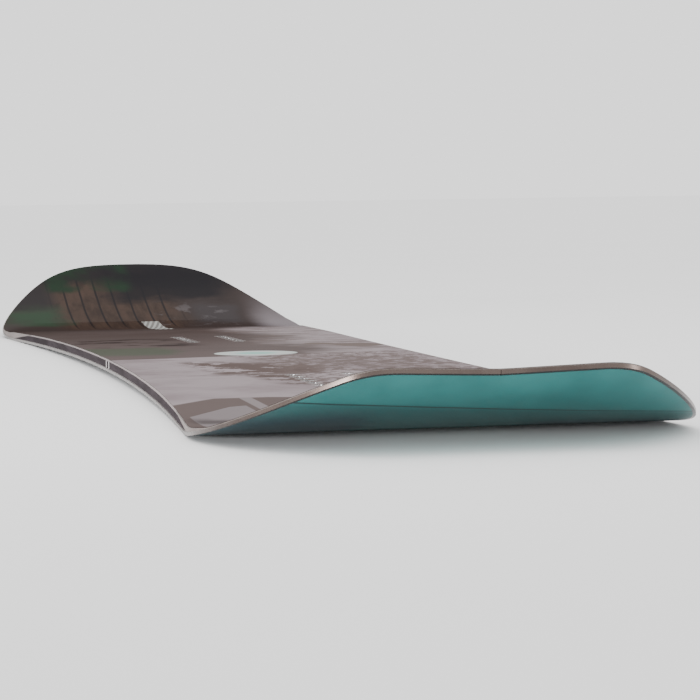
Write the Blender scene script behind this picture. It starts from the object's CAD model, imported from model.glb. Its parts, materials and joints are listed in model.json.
"""The finished look of the snowboard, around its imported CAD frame.

Metres, in the frame of the CAD part: +X points to the nose, +Y to the left side and +Z up.
"""

import json
from math import cos, pi, radians, sin

import bpy
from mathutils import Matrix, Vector


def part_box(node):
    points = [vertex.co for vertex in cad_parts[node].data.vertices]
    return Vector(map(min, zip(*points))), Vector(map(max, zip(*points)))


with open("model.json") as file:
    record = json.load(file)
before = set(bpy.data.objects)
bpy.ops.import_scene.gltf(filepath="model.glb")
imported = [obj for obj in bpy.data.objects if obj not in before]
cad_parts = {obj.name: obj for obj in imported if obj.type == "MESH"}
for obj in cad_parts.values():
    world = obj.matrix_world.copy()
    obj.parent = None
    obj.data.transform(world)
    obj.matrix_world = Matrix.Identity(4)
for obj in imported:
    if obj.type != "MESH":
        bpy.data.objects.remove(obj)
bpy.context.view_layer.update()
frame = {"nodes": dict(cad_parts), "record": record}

# ---- places that the materials are laid out from ----
NOSE_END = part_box("topsheet")[1].x
TAIL_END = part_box("topsheet")[0].x
WAIST = (NOSE_END + TAIL_END) / 2
MM = 0.001
INSERT_PITCH = 20 * MM  # along a row; the rows stand as far from the long axis
PLANK_PITCH = 16.5 * MM
SPOT_X = -12 * MM
SPOT_RADIUS = 34 * MM
SIDEWALL_MARKS_X = -46 * MM
SIDEWALL_MARKS_GAP = 16 * MM


# ---- shader building ----
class Value:
    """A number that varies over a surface, with arithmetic that adds Math nodes."""

    def __init__(self, paint, socket):
        self.paint = paint
        self.socket = socket

    def calculate(self, operation, *others):
        """A Math node on this value and others."""
        inputs = dict(enumerate([self, *others]))
        node = self.paint.node("ShaderNodeMath", {"operation": operation}, inputs)
        return Value(self.paint, node.outputs[0])

    def __add__(self, other):
        return self.calculate("ADD", other)

    def __sub__(self, other):
        return self.calculate("SUBTRACT", other)

    def __mul__(self, other):
        return self.calculate("MULTIPLY", other)

    def __rsub__(self, other):
        return (self * -1) + other

    __radd__ = __add__
    __rmul__ = __mul__

    def size(self):
        return self.calculate("ABSOLUTE")

    def most(self, other):
        return self.calculate("MAXIMUM", other)

    def diagonal(self, other):
        """How far a point is that lies this value along one axis and another across it."""
        return (self * self + other * other).calculate("SQRT")

    def stripes(self, pitch):
        """A sine that crosses zero once in a pitch."""
        return (self * (pi / pitch)).calculate("SINE")

    def rise(self, start, end):
        """A smooth step: 0 before start, 1 past end. It falls if start is past end."""
        node = self.paint.node(
            "ShaderNodeMapRange",
            {"interpolation_type": "SMOOTHSTEP"},
            {"Value": self, "From Min": start, "From Max": end},
        )
        return Value(self.paint, node.outputs[0])

    def near(self, centre, half, soft):
        """1 within a half width of a centre, falling to 0 over a soft border."""
        return (self - centre).size().rise(half + soft, half)


class Paint:
    """One material: a Principled shader and the nodes that feed it."""

    def __init__(self, name, constants=None):
        self.material = bpy.data.materials.new(name)
        self.material.use_nodes = True
        self.nodes = self.material.node_tree.nodes
        self.nodes.clear()
        self.shader = self.node("ShaderNodeBsdfPrincipled")
        for socket, constant in (constants or {}).items():
            self.shader.inputs[socket].default_value = constant
        output = self.node("ShaderNodeOutputMaterial")
        self.link(self.shader.outputs[0], output.inputs[0])
        place = self.node("ShaderNodeTexCoord")
        self.place = place.outputs["Object"]
        apart = self.node("ShaderNodeSeparateXYZ", {}, {0: self.place})
        self.x, self.y, self.z = (Value(self, socket) for socket in apart.outputs)

    def link(self, start, end):
        self.material.node_tree.links.new(start, end)

    def node(self, kind, settings=None, inputs=None):
        """A node of a kind: its settings first, then the value or link of each socket."""
        node = self.nodes.new(kind)
        for name, setting in (settings or {}).items():
            setattr(node, name, setting)
        for socket, source in (inputs or {}).items():
            if isinstance(source, Value):
                source = source.socket
            if isinstance(source, bpy.types.NodeSocket):
                self.link(source, node.inputs[socket])
            else:
                node.inputs[socket].default_value = source
        return node

    def feed(self, socket, source):
        """Lead a value or a colour into the shader."""
        if isinstance(source, Value):
            source = source.socket
        self.link(source, self.shader.inputs[socket])

    def noise(self, size, stretch=(1, 1, 1), detail=3.0, roughness=0.5, shift=0.0):
        """Cloudy noise with features of a size, longer by the stretch along each axis."""
        scale = [1 / (size * factor) for factor in stretch]
        spread = self.node(
            "ShaderNodeMapping", {}, {"Vector": self.place, "Location": (shift,) * 3, "Scale": scale}
        )
        node = self.node(
            "ShaderNodeTexNoise",
            {},
            {
                "Vector": spread.outputs[0],
                "Scale": 1.0,
                "Detail": detail,
                "Roughness": roughness,
            },
        )
        return Value(self, node.outputs[0])

    def cells(self, size, stretch=(1, 1, 1)):
        """Distance to the middle of the nearest cell of a size."""
        scale = [1 / (size * factor) for factor in stretch]
        spread = self.node("ShaderNodeMapping", {}, {"Vector": self.place, "Scale": scale})
        node = self.node(
            "ShaderNodeTexVoronoi", {}, {"Vector": spread.outputs[0], "Scale": 1.0}
        )
        return Value(self, node.outputs["Distance"])

    def upward(self):
        """How far the bare surface faces up: 1 up, -1 down."""
        shape = self.node("ShaderNodeNewGeometry")
        facing = self.node("ShaderNodeSeparateXYZ", {}, {0: shape.outputs["True Normal"]})
        return Value(self, facing.outputs[2])

    def mix(self, under, over, amount):
        """One colour laid over another by an amount."""
        node = self.node(
            "ShaderNodeMix",
            {"data_type": "RGBA"},
            {"Factor": amount, 6: under, 7: over},
        )
        return node.outputs[2]

    def bump(self, height, distance, strength=1.0):
        """Relief of a height field, in metres for a height of one."""
        node = self.node(
            "ShaderNodeBump", {}, {"Height": height, "Distance": distance, "Strength": strength}
        )
        self.feed("Normal", node.outputs[0])


STUDIO_LEVEL = 1.75  # light that reaches a level surface, against that of a plain white surround


def tone(red, green, blue):
    """A colour from its screen values, 0 to 255, under the studio light."""
    channels = [((channel / 255 + 0.055) / 1.055) ** 2.4 for channel in (red, green, blue)]
    return tuple(channel / STUDIO_LEVEL for channel in channels) + (1.0,)


# ---- materials ----
class TopsheetPaint(Paint):
    """The topsheet's material, with the noises that several stretches of its print share."""

    def __init__(self):
        super().__init__("topsheet_print", {"Specular IOR Level": 0.0, "Coat Roughness": 0.15})
        self.cloud = self.noise(0.06, detail=4.0)
        self.haze = self.noise(0.11, detail=5.0, roughness=0.6, shift=3.0)
        self.tufts = self.noise(0.028, detail=8.0, roughness=0.68, shift=7.0)
        self.streaks = self.noise(0.03, (0.7, 1.6, 1), detail=6.0, roughness=0.62, shift=11.0)
        self.ragged_x = self.x + (self.cloud - 0.5) * 0.05


def brown_field(paint):
    """The long field ahead of the waist: taupe, and paler to the right side."""
    x, y, haze, streaks = paint.x, paint.y, paint.haze, paint.streaks
    color = paint.mix(tone(86, 74, 71), tone(112, 99, 97), x.rise(0.45, -0.02))
    color = paint.mix(color, tone(98, 86, 84), haze.rise(0.4, 0.6) * 0.5)
    right_side = (y + (haze - 0.5) * 0.12).rise(-0.03, -0.085) * x.rise(0.68, 0.5)
    color = paint.mix(color, tone(182, 169, 172), right_side * 0.9)
    dark_zone = x.near(0.19, 0.05, 0.05) * y.rise(0.01, 0.045)
    color = paint.mix(color, tone(58, 48, 47), streaks.rise(0.5, 0.6) * dark_zone * 0.85)
    brown_zone = x.near(0.28, 0.22, 0.1) * y.rise(0.0, -0.05)
    color = paint.mix(color, tone(112, 97, 93), streaks.rise(0.54, 0.62) * brown_zone * 0.7)
    moss = paint.ragged_x.near(0.05, 0.035, 0.04) * (y + (haze - 0.5) * 0.08).near(0.095, 0.026, 0.03)
    color = paint.mix(color, tone(88, 98, 82), moss * 0.7)
    lines = paint.noise(0.009, (0.7, 5, 1), detail=5.0, roughness=0.62, shift=17.0)
    color = paint.mix(color, tone(120, 105, 102), lines.rise(0.50, 0.58) * right_side * 0.8)
    for pool_x, pool_y, radius in ((0.075, -0.102, 0.022), (0.108, -0.074, 0.013)):
        off = ((x - pool_x) * 0.8).diagonal(y - pool_y) + (paint.tufts - 0.5) * 0.02
        color = paint.mix(color, tone(122, 107, 102), off.rise(radius * 1.2, radius * 0.8) * 0.95)
    return color


def pale_field(paint):
    """The pale field behind the waist: brown tufts, a thicket on the right and faint drifts."""
    x, y, haze, tufts = paint.x, paint.y, paint.haze, paint.tufts
    color = paint.mix(tone(176, 163, 166), tone(154, 140, 143), haze.rise(0.4, 0.65))
    tuft_x = x + (haze - 0.5) * 0.1
    tuft_y = y + (haze - 0.5) * 0.06
    front_tufts = tuft_x.near(-0.2, 0.05, 0.05) * tuft_y.near(0.027, 0.03, 0.02)
    rear_tufts = tuft_x.near(-0.31, 0.03, 0.025) * tuft_y.near(0.03, 0.01, 0.012)
    color = paint.mix(color, tone(104, 88, 84), tufts.rise(0.46, 0.51) * front_tufts.most(rear_tufts))
    specks = paint.noise(0.011, detail=6.0, roughness=0.7, shift=5.0)
    thicket = (specks + haze.rise(0.35, 0.6) * 0.07).rise(0.5, 0.56)
    thicket = thicket * (tuft_y + x * 0.02).rise(0.03, 0.005)
    color = paint.mix(color, tone(116, 100, 96), thicket * 0.85)
    drift = paint.noise(0.007, (0.8, 5, 1), detail=5.0, roughness=0.65, shift=13.0)
    drift_zone = x.near(-0.16, 0.1, 0.07) * y.rise(0.05, 0.075)
    return paint.mix(color, tone(104, 92, 90), drift.rise(0.56, 0.64) * drift_zone * 0.6)


def tail_panel(paint, color):
    """A plain brown panel ahead of the tail on the left, with two pale shapes in it."""
    y, cloud = paint.y, paint.cloud
    along = paint.x + (y - 0.105).most(0.0) * 1.2 + (0.07 - y).most(0.0) * 0.35
    along = along + (cloud - 0.5) * 0.006
    panel = along.rise(-0.452, -0.458) * (y + (cloud - 0.5) * 0.03).rise(0.028, 0.042)
    color = paint.mix(color, tone(112, 98, 95), panel)
    fold = (along + y * 0.5).near(-0.527, 0.064, 0.002) * y.near(0.116, 0.022, 0.001)
    color = paint.mix(color, tone(150, 140, 142), fold * 0.9)
    color = paint.mix(color, tone(160, 150, 152), panel * y.near(0.085, 0.0035, 0.001) * 0.8)
    dark_corner = paint.ragged_x.near(-0.6, 0.004, 0.016) * y.near(0.128, 0.006, 0.012)
    return paint.mix(color, tone(70, 62, 61), dark_corner * 0.7)


def plank_wall(paint):
    """The nose's ground: brown planks parted by dark lengthwise lines."""
    x, y, cloud = paint.x, paint.y, paint.cloud
    plank_y = y + (cloud - 0.5) * 0.002
    seam = (plank_y - PLANK_PITCH / 2).stripes(PLANK_PITCH).size().rise(0.26, 0.12)
    planks = x.rise(0.50, 0.62) * (y + (cloud - 0.5) * 0.04).near(0.028, 0.05, 0.03)
    grain = paint.noise(0.012, (14, 1, 1), detail=5.0, roughness=0.6)
    brown = paint.mix(tone(80, 64, 56), tone(62, 50, 45), grain.rise(0.35, 0.7))
    color = paint.mix(tone(66, 56, 54), brown, planks)
    return paint.mix(color, tone(44, 38, 38), seam * x.rise(0.555, 0.63) * planks.rise(0.2, 0.8))


def nose_picture(paint):
    """The dark nose: planks under a night sky, a pale right side, a cloud and some leaves."""
    x, y, haze = paint.x, paint.y, paint.haze
    ragged_x = paint.ragged_x
    torn_x = ragged_x + (paint.streaks - 0.5) * 0.05
    night = (ragged_x + (haze - 0.5) * 0.06).rise(0.722, 0.745)
    color = paint.mix(plank_wall(paint), tone(42, 38, 40), night * 0.97)
    pale_side = (y + (haze - 0.5) * 0.02).rise(-0.098, -0.130) * x.rise(0.73, 0.60)
    color = paint.mix(color, tone(146, 137, 141), pale_side * 0.95)
    peak = torn_x.near(0.648, 0.02, 0.03) * (y + (haze - 0.5) * 0.03).near(-0.074, 0.012, 0.02)
    color = paint.mix(color, tone(70, 64, 65), peak)
    dark_cloud = torn_x.near(0.735, 0.022, 0.03) * (y + (haze - 0.5) * 0.08).near(-0.030, 0.036, 0.04)
    color = paint.mix(color, tone(34, 32, 36), dark_cloud * 0.9)
    shade = (ragged_x + (haze - 0.5) * 0.04).near(0.708, 0.02, 0.015) * y.rise(0.075, 0.1)
    color = paint.mix(color, tone(50, 46, 47), shade * 0.9)
    leaf = (paint.cloud * 0.6 + haze * 0.4).rise(0.36, 0.54)
    high_leaves = ragged_x.near(0.752, 0.02, 0.012) * y.near(0.047, 0.036, 0.015)
    color = paint.mix(color, tone(36, 56, 40), high_leaves * leaf)
    smudges = paint.tufts.rise(0.54, 0.62) * x.near(0.64, 0.03, 0.03) * y.near(-0.055, 0.03, 0.02)
    color = paint.mix(color, tone(112, 106, 108), smudges * 0.5)
    low_leaves = (ragged_x + (haze - 0.5) * 0.06).near(0.652, 0.014, 0.04)
    low_leaves = low_leaves * (y + (haze - 0.5) * 0.12).near(0.116, 0.012, 0.034)
    return paint.mix(color, tone(56, 74, 57), low_leaves * (0.3 + leaf * 0.7))


def plain_marks(paint, color):
    """A striped pale patch, worn rings round the inserts and a round spot with a mint middle."""
    x, y = paint.x, paint.y
    patch = x.near(0.57, 0.056, 0.001) * y.near(-0.003, 0.0085, 0.0006)
    hatch = (x * 0.2 + y).stripes(2.6 * MM).rise(-0.2, 0.3)
    color = paint.mix(color, tone(190, 190, 186), patch * (0.45 + hatch * 0.55))
    for inserts in ("front_inserts", "rear_inserts"):
        low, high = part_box(inserts)
        middle = (low.x + high.x) / 2
        from_insert = (x - middle - INSERT_PITCH / 2).calculate("WRAP", INSERT_PITCH / 2, -INSERT_PITCH / 2)
        off = from_insert.diagonal(y.size() - INSERT_PITCH)
        ring = off.near(5.2 * MM, 0.6 * MM, 0.4 * MM) * x.near(middle, (high.x - low.x) / 2, MM)
        color = paint.mix(color, tone(176, 168, 166), ring * 0.85)
    off = (x - SPOT_X).diagonal(y)
    color = paint.mix(color, tone(214, 218, 216), off.rise(SPOT_RADIUS, SPOT_RADIUS - 1.5 * MM))
    return paint.mix(color, tone(168, 214, 204), off.rise(22 * MM, 10 * MM) * 0.9)


def topsheet_print():
    """Glossy printed topsheet: a dark nose with planks, then a pale field with brown tufts."""
    paint = TopsheetPaint()
    x, y = paint.x, paint.y
    behind_shore = (x + y * 0.16 + (paint.tufts - 0.5) * 0.004).rise(-0.040, -0.046)
    color = paint.mix(brown_field(paint), pale_field(paint), behind_shore)
    color = tail_panel(paint, color)
    color = paint.mix(color, nose_picture(paint), x.rise(0.44, 0.58))
    color = plain_marks(paint, color)
    trimmed_edge = tone(52, 46, 45)
    paint.feed("Base Color", paint.mix(trimmed_edge, color, paint.upward().rise(0.3, 0.6)))
    ripple = paint.noise(0.02, detail=2.0, shift=2.0)
    paint.feed("Roughness", 0.30 + ripple * 0.08)
    paint.feed("Coat Weight", 0.05 + x.rise(0.60, 0.74) * 0.06 + (paint.haze - 0.5) * 0.03)
    weave = (x + y).stripes(1.208 * MM) * (x - y).stripes(1.208 * MM)
    paint.bump(ripple + weave * 0.02, 0.0002)
    return paint.material


def base_plastic():
    """Sintered polyethylene with a stone-ground structure and a dark figure between teal ends."""
    paint = Paint("base_plastic", {"Specular IOR Level": 0.25})
    x, y = paint.x, paint.y
    cloud = paint.noise(0.07, (1.6, 1, 1), detail=3.0)
    torn = paint.noise(0.03, detail=6.0, roughness=0.62, shift=8.0)
    from_waist = (x - WAIST).size()
    teal = paint.mix(tone(68, 160, 158), tone(46, 130, 129), cloud.rise(0.3, 0.7))
    border = from_waist - y * 0.19 + (cloud - 0.5) * 0.006
    color = paint.mix(tone(48, 116, 116), teal, border.rise(0.716, 0.730))
    color = paint.mix(color, tone(14, 34, 38), border.near(0.7245, 0.0007, 0.0009) * 0.85)
    far_figure = (y + (torn - 0.5) * 0.05).rise(-0.035, -0.06) * border.rise(0.70, 0.67)
    near_figure = (y + (torn - 0.5) * 0.05).rise(0.045, 0.07) * from_waist.rise(0.735, 0.70)
    figure = far_figure.most(near_figure)
    color = paint.mix(color, tone(32, 66, 80), figure * 0.85)
    color = paint.mix(color, tone(18, 30, 36), from_waist.rise(0.64, 0.56) * 0.85)
    groove = paint.noise(0.0006, (60, 1, 1), detail=2.0)
    polish = paint.noise(0.05, (4, 1, 1), detail=4.0, shift=4.0)
    paint.feed("Base Color", color)
    paint.feed("Roughness", 0.3 + groove * 0.1 + polish * 0.1)
    paint.bump(groove, 0.00004)
    return paint.material


def edge_steel():
    """Ground steel of the edges, brushed along the board, with small nicks."""
    paint = Paint("edge_steel", {"Metallic": 1.0})
    brush = paint.noise(0.0007, (50, 1, 1), detail=3.0)
    stain = paint.noise(0.03, detail=4.0, shift=6.0)
    color = paint.mix(tone(128, 114, 108), tone(110, 97, 92), stain.rise(0.4, 0.7))
    color = paint.mix(color, tone(146, 136, 131), brush.rise(0.55, 0.75) * 0.4)
    color = paint.mix(color, tone(78, 72, 74), paint.upward().rise(-0.5, -0.8))
    nicks = paint.cells(0.011).rise(0.10, 0.05)
    paint.feed("Base Color", color)
    paint.feed("Roughness", 0.18 + brush * 0.12 + stain * 0.08)
    paint.bump(brush * 0.4 - nicks * 0.5, 0.00002)
    return paint.material


def sidewall_plastic():
    """Dark plastic rail with machining marks, its bevel worn paler, with two plain waist marks."""
    paint = Paint("sidewall_plastic", {"Specular IOR Level": 0.0})
    upward = paint.upward()
    marks = paint.noise(0.0009, (24, 1, 1), detail=4.0, roughness=0.6)
    smear = paint.noise(0.02, (3, 1, 0.4), detail=5.0, roughness=0.6, shift=1.0)
    color = paint.mix(tone(66, 61, 63), tone(80, 74, 77), smear.rise(0.35, 0.7))
    color = paint.mix(color, tone(58, 54, 57), marks.rise(0.5, 0.7) * 0.6)
    color = paint.mix(color, tone(164, 154, 154), upward.rise(0.3, 0.6))
    from_marks = (paint.x - SIDEWALL_MARKS_X).size()
    waist_marks = from_marks.near(SIDEWALL_MARKS_GAP / 2, 0.0016, 0.0004)
    color = paint.mix(color, tone(216, 214, 212), waist_marks * upward.rise(0.3, 0.1))
    paint.feed("Base Color", color)
    paint.feed("Roughness", 0.42 + marks * 0.2)
    paint.bump(marks, 0.00008)
    return paint.material


def glass_laminate():
    """Resin over glass cloth: milky, with a fine weave."""
    paint = Paint("glass_laminate", {"Coat Weight": 0.2})
    weave = paint.x.stripes(1.047 * MM) * paint.y.stripes(1.047 * MM)
    milk = paint.noise(0.03, detail=4.0)
    color = paint.mix(tone(142, 130, 124), tone(124, 113, 106), milk.rise(0.35, 0.65))
    color = paint.mix(color, tone(164, 154, 148), weave.rise(0.2, 0.8) * 0.5)
    paint.feed("Base Color", color)
    paint.feed("Roughness", 0.35 + milk * 0.15)
    paint.bump(weave, 0.00008)
    return paint.material


def core_wood(name, light, dark):
    """Sawn core wood with lengthwise grain and pores."""
    paint = Paint(name)
    rings = paint.noise(0.006, (40, 1, 1), detail=4.0, roughness=0.55)
    pores = paint.noise(0.0011, (18, 1, 1), detail=2.0, shift=9.0)
    color = paint.mix(light, dark, rings.rise(0.35, 0.68))
    color = paint.mix(color, dark, pores.rise(0.6, 0.75) * 0.6)
    paint.feed("Base Color", color)
    paint.feed("Roughness", 0.6 + rings * 0.2)
    paint.bump(rings + pores * 0.4, 0.0002)
    return paint.material


def tip_plastic():
    """Pale plastic that rims the board past the ends of the sidewalls."""
    paint = Paint("tip_plastic", {"Specular IOR Level": 0.2})
    smear = paint.noise(0.015, (3, 3, 0.5), detail=4.0)
    color = paint.mix(tone(132, 118, 113), tone(116, 103, 99), smear.rise(0.35, 0.7))
    paint.feed("Base Color", color)
    paint.feed("Roughness", 0.35 + smear * 0.15)
    paint.bump(smear, 0.0001)
    return paint.material


def foil_rubber():
    """Matte black damping rubber."""
    paint = Paint("foil_rubber")
    dust = paint.noise(0.004, detail=4.0)
    paint.feed("Base Color", paint.mix(tone(34, 32, 33), tone(52, 49, 50), dust.rise(0.4, 0.7)))
    paint.feed("Roughness", 0.7 + dust * 0.2)
    paint.bump(dust, 0.0001)
    return paint.material


def insert_steel():
    """Turned stainless steel of the inserts, with fine lathe rings."""
    paint = Paint("insert_steel", {"Metallic": 1.0})
    scuffs = paint.noise(0.003, detail=5.0)
    lathe = paint.z.stripes(0.349 * MM)
    color = paint.mix(tone(188, 188, 190), tone(150, 150, 152), scuffs.rise(0.4, 0.7))
    paint.feed("Base Color", color)
    paint.feed("Roughness", 0.25 + scuffs * 0.2)
    paint.bump(scuffs + lathe * 0.2, 0.00006)
    return paint.material


def cap_plastic():
    """White moulded caps under the inserts."""
    paint = Paint("cap_plastic")
    haze = paint.noise(0.004, detail=3.0)
    paint.feed("Base Color", paint.mix(tone(222, 220, 214), tone(200, 198, 190), haze.rise(0.4, 0.7)))
    paint.feed("Roughness", 0.5 + haze * 0.2)
    paint.bump(haze, 0.0001)
    return paint.material


def dress_nodes():
    """Give every CAD node the finish of its material slot."""
    finishes = {
        "printed_topsheet": topsheet_print(),
        "base_plastic": base_plastic(),
        "edge_steel": edge_steel(),
        "sidewall_plastic": sidewall_plastic(),
        "glass_laminate": glass_laminate(),
        "pale_core_wood": core_wood("pale_core_wood", tone(222, 196, 156), tone(196, 162, 118)),
        "dark_core_wood": core_wood("dark_core_wood", tone(186, 146, 104), tone(150, 110, 74)),
        "spacer_plastic": tip_plastic(),
        "foil_rubber": foil_rubber(),
        "insert_steel": insert_steel(),
        "cap_plastic": cap_plastic(),
    }
    for part in frame["record"]["subparts"]:
        mesh = frame["nodes"][part["node"]].data
        mesh.materials.clear()
        mesh.materials.append(finishes[part["material_slot"]])


dress_nodes()


# ---- studio ----
def studio_floor():
    """A plain pale floor under the board."""
    bpy.ops.mesh.primitive_plane_add(size=60)
    floor = bpy.context.object
    floor.name = "studio_floor"
    paint = Paint("studio_floor", {"Roughness": 0.9, "Specular IOR Level": 0.0})
    speckle = paint.noise(0.4)
    paint.feed("Base Color", paint.mix((0.92, 0.92, 0.92, 1.0), (0.95, 0.95, 0.95, 1.0), speckle))
    floor.data.materials.append(paint.material)


def studio_light():
    """A soft white surround, a large soft lamp overhead and a low one on each side."""
    world = bpy.data.worlds.new("studio")
    bpy.context.scene.world = world
    world.use_nodes = True
    world.node_tree.nodes["Background"].inputs[0].default_value = (1.0, 1.0, 1.0, 1.0)
    world.node_tree.nodes["Background"].inputs[1].default_value = 1.6
    lamps = {
        "overhead": ((-0.4, 0.6, 2.2), (2.4, 1.2), 10, 180),
        "left": ((-1.45, 2.0, 0.15), (0.9, 0.26), 10, 50),
        "right": ((-1.9, -2.0, 0.15), (0.4, 0.26), 2.5, 60),
    }
    for name, (place, (width, height), energy, spread) in lamps.items():
        lamp = bpy.data.lights.new(name, "AREA")
        lamp.shape = "RECTANGLE"
        lamp.size = width
        lamp.size_y = height
        lamp.energy = energy
        lamp.spread = radians(spread)
        holder = bpy.data.objects.new(name, lamp)
        holder.location = place
        holder.rotation_euler = (-holder.location).to_track_quat("-Z", "Y").to_euler()
        bpy.context.scene.collection.objects.link(holder)


def studio_camera():
    """A long lens close to the floor, behind the tail and to the left of it."""
    heading = radians(-11.8)
    pitch = radians(-3.23)
    roll = radians(-0.79)
    lens = bpy.data.cameras.new("camera")
    lens.sensor_width = 36.0
    lens.lens = 147.66
    lens.clip_end = 100
    camera = bpy.data.objects.new("camera", lens)
    camera.location = (-2.269, 0.3946, 0.1439)
    aim = Vector((cos(pitch) * cos(heading), cos(pitch) * sin(heading), sin(pitch)))
    camera.rotation_euler = aim.to_track_quat("-Z", "Y").to_euler()
    camera.rotation_euler.rotate_axis("Z", roll)
    bpy.context.scene.collection.objects.link(camera)
    bpy.context.scene.camera = camera


studio_floor()
studio_light()
studio_camera()
